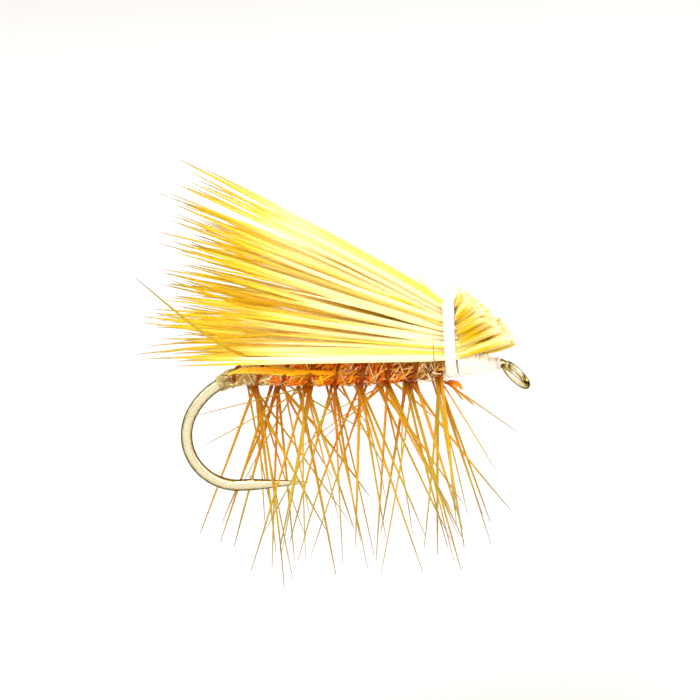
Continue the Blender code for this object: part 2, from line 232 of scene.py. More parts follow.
WHITE = rgb(0.93, 0.915, 0.86)
CREAM_THREAD = rgb(0.90, 0.865, 0.74)
BRONZE_SHEEN = (0.20, 0.17, 0.09, 1)
STEEL_EDGE_REFLECTION_STOPS = (  # the steel's colour with painted dark reflection, from where it faces the eye to where it is seen edge on
    (0.0, (0.84, 0.77, 0.54)),
    (0.15, (0.68, 0.60, 0.35)),
    (0.26, (0.30, 0.245, 0.09)),
    (0.45, (0.13, 0.105, 0.037)),
)


def new_material(name):
    made = bpy.data.materials.new(name)
    made.use_nodes = True
    return made, made.node_tree, made.node_tree.nodes["Principled BSDF"]


def fill(node, values):
    for name, value in values.items():
        node.inputs[name].default_value = value


def add_noise(tree, size, detail=3.0):
    """A noise texture whose features are about size across, in the object's own frame."""
    place_in = tree.nodes.new("ShaderNodeTexCoord")
    made = tree.nodes.new("ShaderNodeTexNoise")
    fill(made, {"Scale": 1 / size, "Detail": detail})
    tree.links.new(place_in.outputs["Object"], made.inputs["Vector"])
    return made.outputs["Fac"]


def spread(tree, value, low, high, source=(0.3, 0.7)):
    """Maps a value's source range, for noise nearly all of it, to the range from low to high."""
    made = tree.nodes.new("ShaderNodeMapRange")
    fill(made, {"From Min": source[0], "From Max": source[1], "To Min": low, "To Max": high})
    tree.links.new(value, made.inputs["Value"])
    return made.outputs["Result"]


def colour_ramp(tree, value, stops):
    """The colour for a value, blended between stops of (position, colour)."""
    made = tree.nodes.new("ShaderNodeValToRGB")
    elements = made.color_ramp.elements
    elements.remove(elements[1])
    elements[0].position, elements[0].color = stops[0][0], (*stops[0][1], 1)
    for position, colour in stops[1:]:
        elements.new(position).color = (*colour, 1)
    tree.links.new(value, made.inputs["Fac"])
    return made.outputs["Color"]


def add_bump(tree, shader, value, height):
    made = tree.nodes.new("ShaderNodeBump")
    fill(made, {"Strength": 1, "Distance": height})
    tree.links.new(value, made.inputs["Height"])
    tree.links.new(made.outputs["Normal"], shader.inputs["Normal"])


def painted_tint(tree):
    """The outputs of the colour painted on the vertices."""
    made = tree.nodes.new("ShaderNodeAttribute")
    made.attribute_name = "tint"
    return made.outputs


def edge_on(tree, factor, added):
    """How far the surface turns away from the eye, from 0 to 1, times factor plus added."""
    weight = tree.nodes.new("ShaderNodeLayerWeight")
    fill(weight, {"Blend": 0.5})
    made = tree.nodes.new("ShaderNodeMath")
    made.operation = "MULTIPLY_ADD"
    tree.links.new(weight.outputs["Facing"], made.inputs[0])
    for socket, given in zip(made.inputs[1:], (factor, added)):
        if isinstance(given, bpy.types.NodeSocket):
            tree.links.new(given, socket)
        else:
            socket.default_value = given
    return made.outputs["Value"]


def fibre_material(name, grain, shade, roughness, bump, specular, glow, bleed=0.22 * MM, rim=0.0):
    """A fibre painted by its tint, mottled by noise as fine as grain. Light bleeds through it as far as
    bleed, and painted shade deepens its tint towards its rims by rim."""
    made, tree, shader = new_material(name)
    mottle = add_noise(tree, grain)
    rim_shaded = tree.nodes.new("ShaderNodeGamma")
    tree.links.new(painted_tint(tree)["Color"], rim_shaded.inputs["Color"])
    # painted shade: the tint deepens where the fibre turns away from the eye
    tree.links.new(edge_on(tree, rim, 1), rim_shaded.inputs["Gamma"])
    shaded = tree.nodes.new("ShaderNodeMix")
    shaded.data_type = "RGBA"
    shaded.blend_type = "MULTIPLY"
    fill(shaded, {"Factor": 1})
    tree.links.new(rim_shaded.outputs["Color"], shaded.inputs["A"])
    tree.links.new(spread(tree, mottle, *shade), shaded.inputs["B"])
    tree.links.new(shaded.outputs["Result"], shader.inputs["Base Color"])
    tree.links.new(spread(tree, mottle, *roughness), shader.inputs["Roughness"])
    add_bump(tree, shader, mottle, bump)
    shader.subsurface_method = "BURLEY"
    fill(shader, {"Specular IOR Level": specular, "Subsurface Weight": glow, "Subsurface Scale": bleed,
                  "Subsurface Radius": (1.0, 1.0, 1.0)})
    return made


def plain_material(name, grain, dark, light, roughness, metallic=0.0, coat=0.0):
    """A surface that noise as fine as grain varies between two colours."""
    made, tree, shader = new_material(name)
    fine = add_noise(tree, grain)
    tree.links.new(colour_ramp(tree, fine, ((0, dark), (1, light))), shader.inputs["Base Color"])
    tree.links.new(spread(tree, fine, *roughness), shader.inputs["Roughness"])
    fill(shader, {"Metallic": metallic, "Coat Weight": coat, "Coat Roughness": 0.05})
    return made


def make_steel():
    """Bronzed steel wire: cream where it faces the eye, with a painted dark reflection that turns it olive
    where it is seen edge on. The tint says how strong that painted reflection is."""
    made, tree, shader = new_material("hook_steel")
    fill(shader, {"Metallic": 1, "Specular Tint": BRONZE_SHEEN})
    fine = add_noise(tree, 0.10 * MM, 4)
    # painted reflection: the more the wire turns edge on, the darker the colour it gets
    depth = edge_on(tree, painted_tint(tree)["Fac"], spread(tree, fine, -0.07, 0.07))
    tree.links.new(colour_ramp(tree, depth, STEEL_EDGE_REFLECTION_STOPS), shader.inputs["Base Color"])
    tree.links.new(spread(tree, fine, 0.05, 0.13), shader.inputs["Roughness"])
    add_bump(tree, shader, fine, 0.002 * MM)
    return made


# rim paints shade on the hair, deepening its tint towards its rims
HAIR = fibre_material("elk_hair", 0.09 * MM, shade=(0.90, 1.06), roughness=(0.38, 0.55), bump=0.006 * MM,
                      specular=0.18, glow=1.0, bleed=0.40 * MM, rim=0.25)
BARB = fibre_material("hackle_barb", 0.12 * MM, shade=(0.84, 1.10), roughness=(0.28, 0.42), bump=0.004 * MM,
                      specular=0.12, glow=0.6)
FUR = fibre_material("dubbing_fur", 0.06 * MM, shade=(0.72, 1.20), roughness=(0.32, 0.55), bump=0.008 * MM,
                     specular=0.12, glow=0.8)
THREAD = fibre_material("tying_thread", 0.05 * MM, shade=(0.92, 1.03), roughness=(0.45, 0.6), bump=0.004 * MM,
                        specular=0.3, glow=0.9)
HIDDEN_THREAD = plain_material("underwrap_thread", 0.06 * MM, CREAM_THREAD, WHITE, roughness=(0.45, 0.6))
RIB_METAL = plain_material("rib_wire_metal", 0.05 * MM, (0.62, 0.46, 0.24), (0.90, 0.76, 0.48),
                           roughness=(0.15, 0.3), metallic=1)
VARNISH = plain_material("head_varnish", 0.15 * MM, (0.80, 0.74, 0.60), (0.93, 0.91, 0.85),
                         roughness=(0.06, 0.16), coat=0.6)
STEEL = make_steel()

# -------- the hook

SHANK_HALF = 0.225 * MM
EYE_HALF = 0.15 * MM
EYE_TWIST = math.radians(5)
EYE_ENDS = (math.radians(-168), math.radians(170))  # where the ring's ends stop beside the neck
EYE_SHADE = 0.5  # the eye's painted dark edge reflection is this much of the bend's
FORGED = (0.19 * MM, 0.265 * MM)  # half the thickness across the bend's plane, and in it
FORGING = 2 * MM  # the length behind the shank over which the wire gets its forged section
FORGED_POWER = 0.88  # below 1 squares the wire's round section
POINT_TAPER = 2.7 * MM
POINT_WIDTH = 0.012  # the point's taper ends at this share of the wire's width, before its curve
SPUR = (2.62 * MM, 2.91 * MM)  # the foot and the tip of the barb, measured back from the point
SPUR_RISE = 0.24 * MM
SPUR_SINK = 0.12 * MM  # how deep the barb's foot starts in the wire
SPUR_HALVES = (0.10 * MM, 0.085 * MM, 0.055 * MM, 0.008 * MM)


def wire_sections():
    """Centre, half width, half height and upper side of the wire's sections, from the point to the eye."""
    bend, shank = np.linspace(WIRE_LENGTH, SHANK_LENGTH, 130), np.linspace(SHANK_LENGTH, 0, 20)
    for distance in np.concatenate((bend, shank[1:])):
        centre, _, up = wire_at(distance)
        forged = smooth((distance - SHANK_LENGTH) / FORGING)
        taper = np.clip((WIRE_LENGTH - distance) / POINT_TAPER, POINT_WIDTH, 1) ** 0.8
        wide, high = (mix(SHANK_HALF, half, forged) * taper for half in FORGED)
        yield centre, wide, high, up
    for share in np.arange(1, 13) / 12:
        angle = EYE_DROP * share
        centre = (SHANK_X + NECK_BEND * math.sin(angle), 0, SHANK_Z - NECK_BEND * (1 - math.cos(angle)))
        half = mix(SHANK_HALF, EYE_HALF, share)
        yield np.array(centre), half, half, np.array((math.sin(angle), 0, math.cos(angle)))


def add_wire(made):
    """The wire from its point to its neck, a little squared where it is forged."""
    angles = 2 * np.pi * np.arange(28) / 28
    sideways, upwards = np.cos(angles), np.sin(angles)
    rings = []
    for centre, wide, high, up in wire_sections():
        power = mix(1, FORGED_POWER, smooth((high / wide - 1) / 0.3))
        across = np.sign(sideways) * np.abs(sideways) ** power * wide
        rise = np.sign(upwards) * np.abs(upwards) ** power * high
        rings.append(centre + np.array((0, 1, 0)) * across[:, None] + up * rise[:, None])
    made.add_rings(rings, np.ones((len(rings), 3)))


def add_spur(made):
    """The barb cut up from the wire's inner side."""
    foot, _, outward = wire_at(WIRE_LENGTH - SPUR[0])
    foot = foot - outward * (FORGED[1] - SPUR_SINK)
    tip = wire_at(WIRE_LENGTH - SPUR[1])[0] - outward * (FORGED[1] + SPUR_RISE)
    made.add([mix(foot, tip, t) for t in (0, 0.35, 0.7, 1)], SPUR_HALVES, np.ones(3), 12, flat=0.8)


def add_eye(made):
    """The ring of the eye, its ends narrowed where they close against the neck."""
    forward = np.array((math.cos(EYE_DROP), 0, -math.sin(EYE_DROP)))
    straight, square = np.array((0, 1, 0)), np.array((math.sin(EYE_DROP), 0, math.cos(EYE_DROP)))
    side = straight * math.cos(EYE_TWIST) + square * math.sin(EYE_TWIST)
    normal = square * math.cos(EYE_TWIST) - straight * math.sin(EYE_TWIST)
    steps = 72
    ring = [forward * (RING[1] + RING[0] * math.cos(t)) + side * RING[0] * math.sin(t)
            for t in np.linspace(*EYE_ENDS, steps)]
    from_end = np.minimum(np.arange(steps), np.arange(steps)[::-1])
    narrowing = mix(0.55, 1, np.sqrt(np.clip(from_end / 3, 0, 1)))
    made.add(ring, EYE_HALF * narrowing, np.full(3, EYE_SHADE), 22, across=normal)


def make_hook():
    made = Fibres()
    add_wire(made)
    add_spur(made)
    add_eye(made)
    made.build("hook_wire", STEEL, "hook_steel", "hook")


# -------- thread

STAINED_THREAD = rgb(0.55, 0.46, 0.19)
STRAND = 0.042 * MM  # half the width of a strand
REAR_STRAND = 0.034 * MM
HEAD_ENDS = (0.23 * MM, 1.84 * MM)
HEAD_SKIN = 0.085 * MM  # the depth of the windings over the head's core
HEAD_PASSES = ((0.26, 1.81, 20.6), (1.80, 0.50, 5.2), (0.62, 1.74, 4.4))  # start and end in mm, and turns
COVER_LOOPS = 25  # slack turns over the head and the lowest butts, from the wing to the eye
COVER = (1.885 * MM, 0.62 * MM)
COVER_HALF, COVER_TOP, COVER_FOOT = (1.22, 0.56), (1.00, 0.52), (0.45, 0.40)  # mm


def add_strand(made, path, half, colours, closed=False):
    made.add(path, half, colours, 7, flat=0.8, across=(1, 0, 0), closed=closed)


def wound(start, end, turns, handed, height, chance, wobble=0.012 * MM):
    """A winding round the wire from start to end, with a hand's unevenness."""
    phase, beat = chance.uniform(0, 6.28), chance.uniform(2.1, 3.3)
    points = []
    for share in np.linspace(0, 1, int(turns * 26)):
        angle = handed * 2 * math.pi * turns * share
        distance = mix(start, end, share) + wobble * math.sin(beat * angle + phase) * 0.6
        out = height(distance) + wobble * 0.5 * math.sin(1.7 * angle + phase)
        points.append(beside_wire(distance, angle, out))
    return points


def head_radius(distance):
    """The thread head's outside: fullest near the wing, running down to the eye."""
    share = min(1, max(0, (distance - 0.22 * MM) / (1.63 * MM)))
    return (mix(0.31, 0.45, share) + 0.05 * math.sin(math.pi * share)) * MM


def add_head_core(made):
    angles = 2 * np.pi * np.arange(24) / 24
    rings = []
    for distance in np.linspace(*HEAD_ENDS, 16):
        radius = head_radius(distance) - HEAD_SKIN
        rings.append([beside_wire(distance, a, radius) for a in angles])
    made.add_rings(rings, np.tile(CREAM_THREAD, (len(rings), 1)))


def add_cover_loop(made, share, chance):
    """One slack turn, wide over the butts and narrow under the wire."""
    x = SHANK_X - mix(*COVER, share)
    wide = mix(*COVER_HALF, share ** 0.8) * chance.uniform(0.97, 1.03) * MM
    high = mix(*COVER_TOP, share) * chance.uniform(0.95, 1.04) * MM
    low = -mix(*COVER_FOOT, share) * MM
    lean = chance.uniform(-0.03, 0.07) * MM
    loop = []
    for t in np.linspace(0, 2 * math.pi, 44)[:-1]:
        tall = (high + low) / 2 + (high - low) / 2 * math.cos(t)
        narrow = mix(0.40, 1.0, smooth((math.cos(t) + 0.9) / 1.3))
        loop.append((x + lean * math.cos(t), wide * narrow * math.sin(t), SHANK_Z + tall))
    add_strand(made, loop, STRAND, mix(WHITE, CREAM_THREAD, chance.random()), closed=True)


def make_head():
    """The wound head, under slack turns that also bind the lowest butts."""
    chance = random.Random(11)
    made = Fibres()
    add_head_core(made)
    for start, end, turns in HEAD_PASSES:
        path = wound(start * MM, end * MM, turns, 1, lambda d: head_radius(d) - STRAND - 0.012 * MM, chance)
        shades = [mix(WHITE, CREAM_THREAD, 0.5 + 0.5 * math.sin(i * 0.11)) for i in range(len(path))]
        add_strand(made, path, STRAND, shades)
    for share in np.linspace(0, 1, COVER_LOOPS):
        add_cover_loop(made, share, chance)
    made.build("head_windings", THREAD, "white_thread", "head_thread_wraps")


def make_rear_wraps():
    chance = random.Random(12)
    made = Fibres()
    start, end = REAR_WRAPS

    def height(distance):
        return mix(0.32, 0.29, (distance - start) / (end - start)) * MM - 0.035 * MM

    for turns in (5.5, 2.2):
        path = wound(start + 0.03 * MM, end - 0.03 * MM, turns, 1, height, chance)
        add_strand(made, path, REAR_STRAND, STAINED_THREAD)
    made.build("rear_windings", THREAD, "white_thread", "rear_thread_wraps")


def band_outline():
    """The band's outer outline round the hair, as y and z, resampled evenly."""
    corners = [Vector((v.co.y, v.co.z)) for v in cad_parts["wing_thread_band"].data.vertices]
    hull = [corners[i] for i in convex_hull_2d(corners)]
    closed = np.array(hull + hull[:1])
    return evenly(closed, 121)[:-1]


BAND_STRAND = 0.043 * MM
BAND_WRAPS = 8
BAND_CROSSINGS = ((0, 0.7, 0.022), (0.85, 0.15, 0.014))  # from, to, and mm in from the outline


def add_band_wrap(made, outline, begin, finish_at, inset, chance):
    """One turn round the hair that slants from begin to finish_at and back."""
    middle = outline.mean(axis=0)
    front, back = BAND[1].x - BAND_STRAND, BAND[0].x + BAND_STRAND
    phase = chance.uniform(0, 6.28)
    points = []
    for i, point in enumerate(outline):
        around = 2 * math.pi * i / len(outline)
        inward = (middle - point) / np.linalg.norm(middle - point)
        y, z = point + inward * (BAND_STRAND + (inset + 0.010 * math.sin(3 * around + phase)) * MM)
        slant = mix(begin, finish_at, 0.5 - 0.5 * math.cos(around))
        x = mix(front, back, slant) + 0.012 * MM * math.sin(2 * around + phase)
        points.append((min(max(x, back), front), y, z))
    add_strand(made, points, BAND_STRAND, mix(WHITE, CREAM_THREAD, chance.random() * 0.6), closed=True)


def make_band():
    """The thread that holds the wing: close wraps round the hair, with two that cross over the others."""
    chance = random.Random(13)
    outline = band_outline()
    made = Fibres()
    for seat in (np.arange(BAND_WRAPS) + 0.5) / BAND_WRAPS:
        add_band_wrap(made, outline, seat, seat, 0.050, chance)
    for crossing in BAND_CROSSINGS:
        add_band_wrap(made, outline, *crossing, chance)
    made.build("wing_band_windings", THREAD, "white_thread", "wing_thread_band")


def make_cement():
    """The drop of varnish that seals the finish knot."""
    made = Fibres()
    angles = 2 * np.pi * np.arange(28) / 28
    rings = []
    for share in np.linspace(0, 1, 13):
        x = mix(CEMENT[0].x, CEMENT[1].x, share)
        radius = mix(0.30, 0.245, share) * MM + 0.03 * MM * math.sin(math.pi * share)
        rings.append([(x, radius * math.cos(a), SHANK_Z + radius * math.sin(a)) for a in angles])
    made.add_rings(rings, np.ones((len(rings), 3)))
    made.build("head_varnish_drop", VARNISH, "head_varnish", "head_cement")


# -------- body

OLIVE = rgb(0.42, 0.31, 0.06)
DARK_OLIVE = rgb(0.12, 0.09, 0.02)
GREY_OLIVE = rgb(0.62, 0.52, 0.20)
TAN = rgb(0.86, 0.52, 0.16)
BROWN = rgb(0.19, 0.055, 0.008)
RED_BROWN = rgb(0.48, 0.06, 0.004)
RED_ORANGE = rgb(0.86, 0.18, 0.006)
ORANGE = rgb(0.97, 0.46, 0.010)
PALE_FUR = rgb(0.96, 0.86, 0.58)
FUR_COLOURS = (  # the colours drawn on from each share of the body's length
    (0.00, (TAN, PALE_FUR, OLIVE, RED_ORANGE, TAN, BROWN)),
    (0.13, (RED_ORANGE, RED_BROWN, ORANGE, BROWN, RED_ORANGE, TAN)),
    (0.32, (RED_BROWN, OLIVE, PALE_FUR, RED_ORANGE, BROWN, TAN)),
    (0.45, (ORANGE, ORANGE, RED_ORANGE, ORANGE, RED_BROWN)),
    (0.64, (RED_ORANGE, ORANGE, RED_BROWN, RED_ORANGE, TAN)),
    (0.82, (OLIVE, GREY_OLIVE, TAN, GREY_OLIVE, PALE_FUR, OLIVE)),
)

ROPES, WISPS, FUZZ, FRONT_LOOPS = 420, 70, 1500, 46
WISP_ROOTS = (11.9, 12.75)  # mm behind the front of the shank
WISP_COLOURS = (OLIVE, GREY_OLIVE, PALE_FUR, DARK_OLIVE, GREY_OLIVE)


def fur_colour(share, chance):
    palette = [colours for at, colours in FUR_COLOURS if share >= at][-1]
    return chance.choice(palette) * chance.uniform(0.75, 1.2)


def add_fur_core(made, chance):
    """The lumpy core of twisted fur."""
    angles = 2 * np.pi * np.arange(40) / 40
    rings, colours = [], []
    for share in np.linspace(0, 1, 150):
        distance = mix(BODY[0] + 0.01 * MM, BODY[1] - 0.01 * MM, share)
        centre = wire_at(distance)[0]
        ring = []
        for a in angles:
            out = radial(distance, a)
            lump = noise.noise(Vector((centre + out * 0.5 * MM) * 2600))
            ring.append(centre + out * (body_radius(distance) * (0.86 + 0.10 * lump)))
        rings.append(ring)
        colours.append(mix(RED_BROWN, fur_colour(share, chance), 0.6))
    made.add_rings(rings, colours)


def add_rope(made, chance):
    """A rope of fibres laid round the core."""
    share = chance.random()
    distance = mix(BODY[0] + 0.1 * MM, BODY[1] - 1.35 * MM, share)
    reach = chance.uniform(0.5, 1.3) * MM
    begin, turn = chance.uniform(0, 2 * math.pi), chance.gauss(1.1, 1.3)
    lift = chance.uniform(0.90, 1.0)

    def height(d, t):
        return body_radius(d) * (lift + 0.04 * math.sin(math.pi * t)) - 0.02 * MM

    path = path_round((distance, distance + reach), (begin, begin + turn), height, 14)
    taper = np.sin(np.linspace(0.12, 1, 14) * np.pi * 0.96) ** 0.5
    made.add(path, taper * chance.uniform(0.022, 0.062) * MM, fur_colour(share, chance), 7, across=(1, 0, 0))


def add_wisp(made, chance):
    """A thin lock of fur caught under the rear wraps."""
    distance = mix(*WISP_ROOTS, chance.random()) * MM
    reach = chance.uniform(0.35, 0.62) * MM
    angle, turn = chance.uniform(0, 2 * math.pi), chance.gauss(0, 0.35)
    lift = chance.uniform(0.0, 0.05) * MM

    def height(d, t):
        on_fur = body_radius(min(d, BODY[1])) * 0.93
        return mix(on_fur, 0.33 * MM, smooth((d - 12.3 * MM) / (0.5 * MM))) + lift * math.sin(math.pi * t)

    path = path_round((distance, distance + reach), (angle, angle + turn), height, 9)
    half = chance.uniform(0.018, 0.04) * MM
    radii = np.interp(np.linspace(0, 1, 9), (0, 0.3, 1), (0.5, 1, 0.15)) * half
    made.add(path, radii, chance.choice(WISP_COLOURS), 5, across=(0, 0.2, 1))


def add_fuzz(made, chance):
    """A loose curled fibre."""
    share = chance.random()
    distance = mix(BODY[0] - 0.06 * MM, BODY[1] + 0.04 * MM, share)
    out = radial(distance, chance.uniform(0, 2 * math.pi))
    centre, along, _ = wire_at(distance)
    root = centre + out * body_radius(distance) * 0.90
    around = np.cross(along, out)
    way = along * chance.gauss(0.3, 0.8) + around * chance.gauss(0.5, 0.9) + out * chance.uniform(0.05, 0.55)
    way /= np.linalg.norm(way)
    length = chance.uniform(0.2, 0.6) * MM
    curl = (along * chance.gauss(0, 1) + around * chance.gauss(0, 1) - out * 0.8) * length * 0.28
    path = [root + way * length * t + curl * t * t for t in np.linspace(0, 1, 7)]
    radii = np.linspace(1, 0.3, 7) * chance.uniform(0.007, 0.014) * MM
    made.add(path, radii, fur_colour(share, chance), 4, across=(0.3, 0.2, 0.9))


def add_front_loop(made, chance):
    """A fibre wound loosely over the front of the body."""
    distance = BODY[0] + chance.uniform(-0.20, 1.25) * MM
    begin = chance.uniform(0, 2 * math.pi)
    turn, reach = chance.gauss(0, 0.5), chance.gauss(0.15, 0.35) * MM
    rise = chance.uniform(0.02, 0.14) * MM
    path = []
    for t in np.linspace(0, 1, 12):
        d = max(distance + reach * t, BODY[0] - 0.24 * MM)
        out = max(body_radius(d), 0.62 * MM) * 0.97 + rise * math.sin(math.pi * t)
        path.append(beside_wire(d, begin + turn * t, out))
    half = chance.uniform(0.018, 0.040) * MM
    made.add(path, half, chance.choice((PALE_FUR, TAN, TAN, ORANGE, OLIVE)), 6, flat=0.7, across=(1, 0, 0))


def make_body():
    """The fur body in two pieces: the core under its ropes and wisps, and the loose fibres on it."""
    chance = random.Random(21)
    ropes, fuzz = Fibres(), Fibres()
    add_fur_core(ropes, chance)
    for made, add_one, count in ((ropes, add_rope, ROPES), (ropes, add_wisp, WISPS),
                                 (fuzz, add_fuzz, FUZZ), (fuzz, add_front_loop, FRONT_LOOPS)):
        for _ in range(count):
            add_one(made, chance)
    ropes.build("dubbing_ropes", FUR, "dubbing_fur", "dubbed_body")
    fuzz.build("dubbing_fuzz", FUR, "dubbing_fur", "dubbed_body")


RIB_TURNS = 7
RIB_HALF, RIB_RISE = 0.034 * MM, 0.035 * MM  # half the wire's width, and its middle's height over the fur


def make_rib():
    """The rib wire, wound the other way to the hackle."""
    chance = random.Random(22)
    made = Fibres()
    ends = (BODY[0] + 0.10 * MM, BODY[1] - 0.10 * MM)
    path = wound(*ends, RIB_TURNS, -1, lambda d: body_radius(d) + RIB_RISE, chance, wobble=0.004 * MM)
    made.add(path, RIB_HALF, np.ones(3), 10, across=(1, 0, 0))
    made.build("rib_wire_winding", RIB_METAL, "rib_wire", "rib_wire")


# -------- hackle

QUILL_RED = rgb(0.30, 0.028, 0.001)
BARB_ORANGE = rgb(0.64, 0.285, 0.003)
BARB_RED = rgb(0.58, 0.12, 0.002)
BARB_GOLD = rgb(0.47, 0.335, 0.02)
BARB_TIP = rgb(0.20, 0.18, 0.08)
AMBER_BARB = ((0, BARB_ORANGE), (0.75, BARB_GOLD), (1, BARB_TIP))


def barb_colours(chance, count):
    """A barb: red-brown at the quill, orange to gold along it, olive at its tip. A few are red for longer."""
    red = 1.0 if chance.random() < 0.18 else chance.uniform(0, 0.25)
    root = mix(QUILL_RED, BARB_ORANGE, chance.uniform(0.0, 0.6))
    plain = mix(BARB_ORANGE, BARB_GOLD, chance.random())
    middle = mix(plain, BARB_RED, red * 0.85)
    tip = mix(BARB_TIP, plain, chance.uniform(0.0, 0.4))
    stops = ((0, root), (0.07, mix(root, middle, 0.6)), (0.2, middle), (0.5, mix(middle, plain, 0.6)),
             (0.65, mix(plain, BARB_GOLD, 0.6)), (0.8, mix(plain, tip, 0.6)), (1, tip))
    return gradient(stops, np.linspace(0, 1, count)) * chance.uniform(0.8, 1.12)


def add_fibre(made, path, profile, half, colours, corners=6, flat=0.85, across=(1, 0.3, 0.1)):
    """A fibre that takes its half width and colours from stops of (share, value) along it."""
    shares = np.linspace(0, 1, len(path))
    radii = np.interp(shares, *zip(*profile)) * half
    made.add(path, radii, gradient(colours, shares), corners, flat=flat, across=across)


def add_barb(made, chance, distance, angle, lean, length, half, bend=None):
    """One barb from the quill, angle round the wire and leaning along it."""
    centre, heading, _ = wire_at(distance)
    along = -heading
    out = radial(distance, angle)
    sideways = np.cross(along, out)
    way = out * math.cos(lean) + along * math.sin(lean)
    root = centre + out * (body_radius(distance) + 0.03 * MM)
    count = 18
    shares = np.linspace(0, 1, count)[:, None]
    bend = chance.gauss(0, 0.025) if bend is None else bend
    lengthwise = along * math.cos(lean) - out * math.sin(lean)
    bow = (lengthwise * bend + sideways * chance.gauss(0, 0.02)) * length
    path = root + way * length * shares + bow * (shares - shares ** 2)
    profile = np.interp(shares[:, 0], (0, 0.03, 0.35, 0.8, 1), (1.15, 1.0, 0.86, 0.56, 0.18))
    made.add(path, profile * half, barb_colours(chance, count), 6, flat=0.85, across=(1, 0.3, 0.1))


STRAY_BARBS = (  # the turn, the angle round the wire and the lean in degrees, and the length in mm
    (1, -20, 53, 4.5),
    (1, -28, 29, 5.1),
    (3, -30, -64, 3.4),
    (3, -22, -51, 4.0),
    (3, -12, -56, 5.1),
    (6, -24, -62, 5.4),
    (6, -18, -78, 5.6),
    (7, 112, -35, 6.0),
    (3, 104, 15, 5.6),
    (5, -96, -14, 5.2),
    (2, -100, 10, 5.0),
)
STRAY_HALF = 0.042 * MM
BARBS_IN_TURN = 9
BARB_SPREAD = math.radians(58)
BARB_HALVES = (0.05 * MM, 0.065 * MM, 0.08 * MM)
BARB_LENGTHS = (7.4 * MM, 9.5 * MM)
BARB_LEANS = (math.radians(6), math.radians(-1))  # forwards, in the first turn and in the last
QUILL_HALVES = (0.10 * MM, 0.075 * MM)
PITCH = (HACKLE[1] - HACKLE[0]) / HACKLE_TURNS


def seat_of(number, angle):
    """How far back the quill of a turn passes an angle round the wire."""
    return HACKLE[0] + PITCH * (number + (angle - HACKLE_START) / (2 * math.pi) % 1)


def add_quill(made, number, along):
    half = mix(*QUILL_HALVES, along)
    start = HACKLE[0] + PITCH * number
    turn = (HACKLE_START, HACKLE_START + 2 * math.pi)
    path = path_round((start, start + PITCH), turn, lambda d, t: body_radius(d) + half * 0.4, 61)
    reds = 0.15 + 0.15 * np.sin(np.linspace(0, 31, len(path)) + number)
    colours = [mix(QUILL_RED, BARB_ORANGE, share) for share in reds]
    made.add(path, half, colours, 10, flat=0.8, across=(1, 0, 0))


def make_hackle_turn(number):
    """One turn of the quill, with a fan of barbs under the body that draw together in clumps."""
    chance = random.Random(300 + number)
    made = Fibres()
    along = number / (HACKLE_TURNS - 1)
    add_quill(made, number, along)
    clumps = [(chance.uniform(-1, 1), chance.gauss(0, 0.17)) for _ in range(9)]
    for _ in range(BARBS_IN_TURN):
        seat, tilt = chance.choice(clumps)
        angle = BARB_SPREAD * max(-1.0, min(1.0, seat * 0.92 + chance.gauss(0, 0.11)))
        distance = seat_of(number, angle) + chance.gauss(0, 0.16) * MM
        lean = mix(*BARB_LEANS, along) + tilt + chance.gauss(0, math.radians(9))
        length = chance.uniform(*BARB_LENGTHS) * (1 - 0.20 * (angle / BARB_SPREAD) ** 2)
        add_barb(made, chance, distance, angle, lean, length, chance.choice(BARB_HALVES))
    for turn, angle, lean, length in STRAY_BARBS:
        if turn == number + 1:
            angle, lean = math.radians(angle), math.radians(lean)
            add_barb(made, chance, seat_of(number, angle), angle, lean, length * MM, STRAY_HALF, 0.02)
    add_loose_fibres(made, number, chance)
    made.build(f"hackle_{number + 1}", BARB, "ginger_hackle", f"hackle_turn_{number + 1}")


UPRIGHT_FIBRE = ((-2.97, -0.95, 0.1), (-2.96, -1.42, 0.7), (-2.94, -1.5, 1.3), (-2.93, -1.42, 1.8))
CAUGHT_BARB = ((-9.6, -0.5, 0.75), (-10.8, -1.9, 1.15), (-11.9, -3.2, 1.75), (-13.7, -3.7, 3.35),
               (-15.8, -4.1, 5.5))
LAID_FIBRES = (  # start and end in mm behind the shank's front, angles there in degrees, half width in mm
    (12.4, 7.2, -128, -96, 0.10),
    (12.0, 6.8, -118, -86, 0.085),
    (11.4, 7.9, -108, -104, 0.075),
    (12.2, 9.0, -134, -112, 0.09),
    (10.4, 6.4, -98, -92, 0.06),
    (11.8, 8.6, -120, -78, 0.05),
)
LOOSE_TAPER = ((0, 1.0), (0.6, 0.85), (1, 0.15))


def add_loose_barb(made, distance, angle, way, length, half):
    """A barb that leaves the body at distance and angle in a direction of its own, and sags."""
    way = np.array(way) / np.linalg.norm(way)
    root = beside_wire(distance, angle, body_radius(distance) + 0.04 * MM)
    shares = np.linspace(0, 1, 14)[:, None]
    sag = np.array((0, 0, -0.12)) * length
    path = root + way * length * shares + sag * (shares - shares ** 2)
    add_fibre(made, path, ((0, 1.0), (0.5, 0.85), (1, 0.15)), half, AMBER_BARB)


def add_curved_fibre(made, points, half, colours):
    """A fibre through points given in mm from the front of the shank's axis, with their corners rounded."""
    path = evenly(np.array(points) * MM + (SHANK_X, 0, SHANK_Z), 26)
    for _ in range(6):
        path[1:-1] = (path[:-2] + 2 * path[1:-1] + path[2:]) / 4
    add_fibre(made, path, LOOSE_TAPER, half, colours)


def add_laid_fibre(made, ends, angles, half, colours):
    """A fibre pressed along the body's side."""
    path = path_round(ends, angles, lambda d, t: body_radius(d) + half * 0.9, 24)
    add_fibre(made, path, ((0, 0.4), (0.15, 1.0), (0.5, 0.9), (1, 0.2)), half, colours, 8, 0.6, (0, 0.2, 1))


